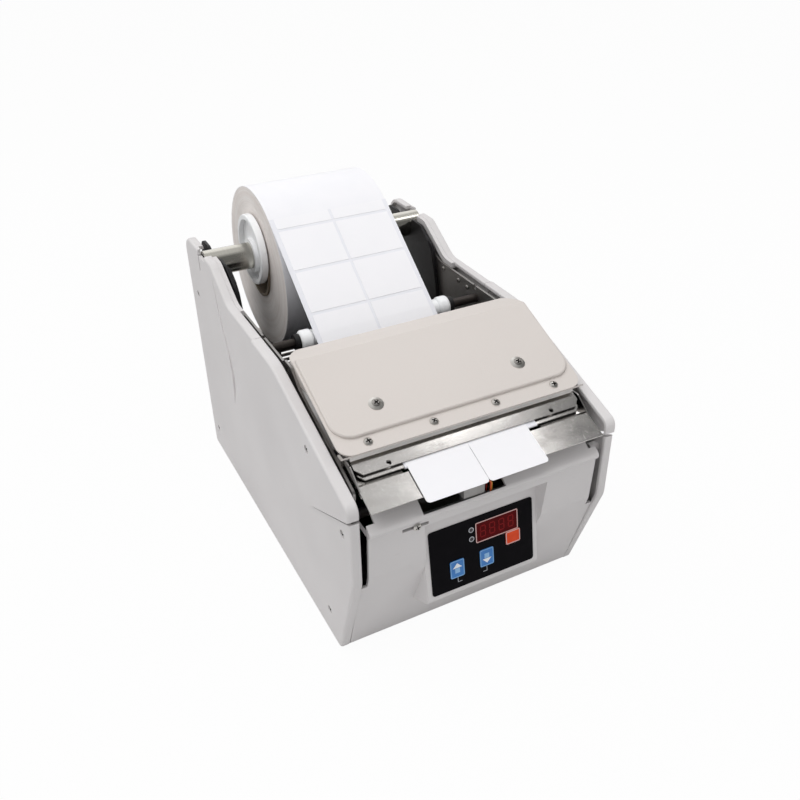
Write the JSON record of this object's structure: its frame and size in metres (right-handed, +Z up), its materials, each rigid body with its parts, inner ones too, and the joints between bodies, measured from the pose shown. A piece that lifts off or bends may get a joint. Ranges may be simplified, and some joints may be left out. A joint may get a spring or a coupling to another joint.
{
  "type": "label dispenser machine",
  "caption": "Desk label dispenser: a label roll on a shaft between side covers feeds under a hinged cover and peels off a blade.",
  "frame": {"origin": "on the resting surface, in the middle of the machine's length and width with its roll", "axes": "+X to the machine's right seen from the front, +Y from the label tray to the roll, +Z up"},
  "size_m": [0.235, 0.4113, 0.2946],
  "materials": {
    "cover_plastic": "fine textured warm light grey moulding",
    "cover_steel": "powder coated warm light grey sheet",
    "screw_steel": "bright plated",
    "frame_steel": "zinc plated sheet",
    "black_steel": "black satin paint",
    "shaft_steel": "turned and polished",
    "bright_steel": "polished stainless sheet",
    "card_core": "grey brown card",
    "label_paper": "semi-gloss white label paper",
    "liner_paper": "smooth silicone coated liner",
    "white_plastic": "smooth white",
    "frame_aluminium": "milled",
    "black_film": "satin black polyester film",
    "red_filter": "dark red transparent",
    "circuit_board": "green solder mask",
    "key_blue": "printed blue",
    "key_orange": "printed orange",
    "grey_plastic": "light grey",
    "wire_plastic": "insulated leads",
    "roller_rubber": "matte black",
    "belt_rubber": "matte black",
    "bearing_brass": "sintered",
    "black_plastic": "fine textured black"
  },
  "bodies": {
    "machine": {"left_side_cover": "cover_plastic", "right_side_cover": "cover_plastic", "left_shoulder_cover": "cover_plastic", "right_shoulder_cover": "cover_plastic", "cover_screws": "screw_steel", "left_frame_plate": "frame_steel", "right_frame_plate": "frame_steel", "tie_rods": "frame_steel", "left_roll_bracket": "black_steel", "right_roll_bracket": "black_steel", "base_pan": "frame_steel", "roll_bay_floor": "black_steel", "rear_cover": "cover_steel", "roll_shaft": "shaft_steel", "guide_shaft": "black_steel", "hinge_pins": "shaft_steel", "label_tray": "bright_steel", "feed_table": "frame_steel", "peel_blade": "bright_steel", "backing_liner": "liner_paper", "web_labels": "label_paper", "dispensed_labels": "label_paper", "front_panel": "cover_plastic", "control_membrane": "black_film", "display_window": "red_filter", "display_board": "circuit_board", "timing_belt": "belt_rubber", "roller_bearings": "bearing_brass", "gear_motor": "frame_steel", "motor_bracket": "frame_steel", "control_board": "circuit_board", "power_inlet": "black_plastic", "power_switch": "black_plastic", "rubber_feet": "roller_rubber"},
    "cover": {"top_cover": "cover_steel", "press_plate": "bright_steel", "top_cover_screws": "screw_steel", "cover_rail": "frame_aluminium"},
    "roll": {"label_roll": "label_paper", "roll_core": "card_core"},
    "left_flange": {"left_roll_flange": "white_plastic"},
    "right_flange": {"right_roll_flange": "white_plastic"},
    "guide": {"guide_roller": "white_plastic"},
    "left_guide": {"left_edge_guide": "white_plastic", "left_lock_ring": "black_steel"},
    "right_guide": {"right_edge_guide": "white_plastic", "right_lock_ring": "black_steel"},
    "drive": {"drive_roller": "roller_rubber", "drive_shaft": "shaft_steel", "drive_pulley": "frame_aluminium"},
    "pressure": {"pressure_roller": "roller_rubber"},
    "motor_output": {"motor_pulley": "frame_aluminium"},
    "sensor": {"sensor_carriage": "frame_aluminium", "gap_sensor": "grey_plastic", "sensor_wires": "wire_plastic", "sensor_clamp_screw": "screw_steel"},
    "up_button": {"up_key": "key_blue"},
    "down_button": {"down_key": "key_blue"},
    "reset_button": {"reset_key": "key_orange"},
    "rocker": {"switch_rocker": "black_plastic"}
  },
  "joints": [
    {"name": "cover_hinge", "type": "hinge", "parent": "machine", "child": "cover", "pos_m": [0, -0.061, 0.2105], "axis": [-1, 0, 0], "range_deg": [0, 60]},
    {"name": "roll_spin", "type": "hinge", "parent": "machine", "child": "roll", "pos_m": [0, 0.127, 0.2178], "axis": [1, 0, 0], "continuous": true},
    {"name": "left_flange_slide", "type": "slide", "parent": "machine", "child": "left_flange", "axis": [-1, 0, 0], "range_m": [0, 0.024]},
    {"name": "right_flange_slide", "type": "slide", "parent": "machine", "child": "right_flange", "axis": [1, 0, 0], "range_m": [0, 0.03]},
    {"name": "guide_roller_spin", "type": "hinge", "parent": "machine", "child": "guide", "pos_m": [0, -0.0075, 0.203], "axis": [1, 0, 0], "continuous": true},
    {"name": "left_guide_slide", "type": "slide", "parent": "machine", "child": "left_guide", "axis": [-1, 0, 0], "range_m": [0, 0.02]},
    {"name": "right_guide_slide", "type": "slide", "parent": "machine", "child": "right_guide", "axis": [1, 0, 0], "range_m": [0, 0.02]},
    {"name": "drive_spin", "type": "hinge", "parent": "machine", "child": "drive", "pos_m": [0, -0.115, 0.146], "axis": [1, 0, 0], "continuous": true},
    {"name": "pressure_spin", "type": "hinge", "parent": "machine", "child": "pressure", "pos_m": [0, -0.10973, 0.16498], "axis": [1, 0, 0], "continuous": true},
    {"name": "motor_spin", "type": "hinge", "parent": "machine", "child": "motor_output", "pos_m": [0.084, -0.095, 0.062], "axis": [1, 0, 0], "continuous": true},
    {"name": "sensor_slide", "type": "slide", "parent": "machine", "child": "sensor", "axis": [1, 0, 0], "range_m": [-0.0075, 0.0075]},
    {"name": "up_press", "type": "slide", "parent": "machine", "child": "up_button", "axis": [0, 0.9877, -0.1564], "range_m": [0, 0.0004], "stiffness_N_per_m": 2000},
    {"name": "down_press", "type": "slide", "parent": "machine", "child": "down_button", "axis": [0, 0.9877, -0.1564], "range_m": [0, 0.0004], "stiffness_N_per_m": 2000},
    {"name": "reset_press", "type": "slide", "parent": "machine", "child": "reset_button", "axis": [0, 0.9877, -0.1564], "range_m": [0, 0.0004], "stiffness_N_per_m": 2000},
    {"name": "rocker_tilt", "type": "hinge", "parent": "machine", "child": "rocker", "pos_m": [0.062, 0.17, 0.04], "axis": [0, 0, -1], "range_deg": [0, 16]}
  ],
  "couplings": [
    {"joint": "drive_spin", "follows": "roll_spin", "ratio": -6.3443},
    {"joint": "pressure_spin", "follows": "roll_spin", "ratio": 10.876},
    {"joint": "motor_spin", "follows": "roll_spin", "ratio": -9.1639},
    {"joint": "guide_roller_spin", "follows": "roll_spin", "ratio": 9}
  ]
}
